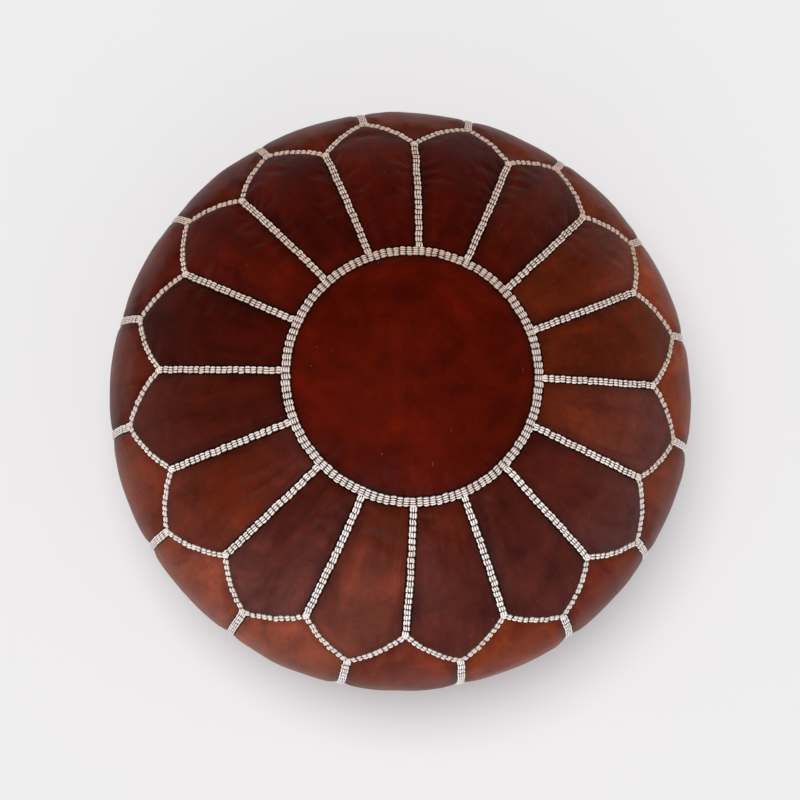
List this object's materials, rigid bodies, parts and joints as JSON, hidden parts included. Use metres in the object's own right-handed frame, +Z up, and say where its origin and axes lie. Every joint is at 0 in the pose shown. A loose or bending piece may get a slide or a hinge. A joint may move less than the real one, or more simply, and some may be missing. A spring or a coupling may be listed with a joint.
{
  "type": "moroccan leather pouf",
  "caption": "Round stuffed leather pouf with a petal-seamed top, braided seams and a zipped, slightly dished base.",
  "frame": {"origin": "on the floor under the middle of the pouf", "axes": "+Z up; the zip runs along X and closes towards +X"},
  "size_m": [0.53, 0.53, 0.3],
  "materials": {
    "disc_hide": "satin, mottled deep oxblood",
    "petal_hide": "satin, mottled dark red-brown, a tone of its own on each petal",
    "side_hide": "satin, mottled cognac brown",
    "base_hide": "matt brown",
    "braid_thread": "cream twisted thread",
    "zip_tape": "woven dark brown tape",
    "sewing_thread": "waxed brown thread",
    "zip_metal": "polished, slightly worn",
    "bag_cotton": "plain unbleached cotton",
    "stuffing_fibre": "loose white fibre"
  },
  "bodies": {
    "pouf": {"base_panel_back": "base_hide", "base_panel_front": "base_hide", "centre_disc": "disc_hide", "centre_ring_braid": "braid_thread", "inner_bag": "bag_cotton", "petal_01": "petal_hide", "petal_02": "petal_hide", "petal_03": "petal_hide", "petal_04": "petal_hide", "petal_05": "petal_hide", "petal_06": "petal_hide", "petal_07": "petal_hide", "petal_08": "petal_hide", "petal_09": "petal_hide", "petal_10": "petal_hide", "petal_11": "petal_hide", "petal_12": "petal_hide", "petal_13": "petal_hide", "petal_14": "petal_hide", "petal_15": "petal_hide", "petal_16": "petal_hide", "petal_seam_braids": "braid_thread", "scallop_braid": "braid_thread", "side_panel_01": "side_hide", "side_panel_02": "side_hide", "side_panel_03": "side_hide", "side_panel_04": "side_hide", "side_panel_05": "side_hide", "side_panel_06": "side_hide", "side_panel_07": "side_hide", "side_panel_08": "side_hide", "side_panel_09": "side_hide", "side_panel_10": "side_hide", "side_panel_11": "side_hide", "side_panel_12": "side_hide", "side_panel_13": "side_hide", "side_panel_14": "side_hide", "side_panel_15": "side_hide", "side_panel_16": "side_hide", "side_seam_braids": "braid_thread", "stuffing": "stuffing_fibre", "zip_bottom_stop": "zip_metal", "zip_stitching": "sewing_thread", "zip_tape_back": "zip_tape", "zip_tape_front": "zip_tape", "zip_teeth_back": "zip_metal", "zip_teeth_front": "zip_metal", "zip_top_stops": "zip_metal"},
    "zip_slider": {"zip_slider": "zip_metal"},
    "zip_pull": {"zip_pull": "zip_metal"}
  },
  "joints": [
    {"name": "zip_travel", "type": "slide", "parent": "pouf", "child": "zip_slider", "axis": [-1, 0, 0], "range_m": [0, 0.236], "deforming": ["zip_teeth_back", "zip_teeth_front"]},
    {"name": "pull_swing", "type": "hinge", "parent": "zip_slider", "child": "zip_pull", "pos_m": [0.11798, 0, 0.0126], "axis": [0, -1, 0], "range_deg": [-15, 159]}
  ]
}
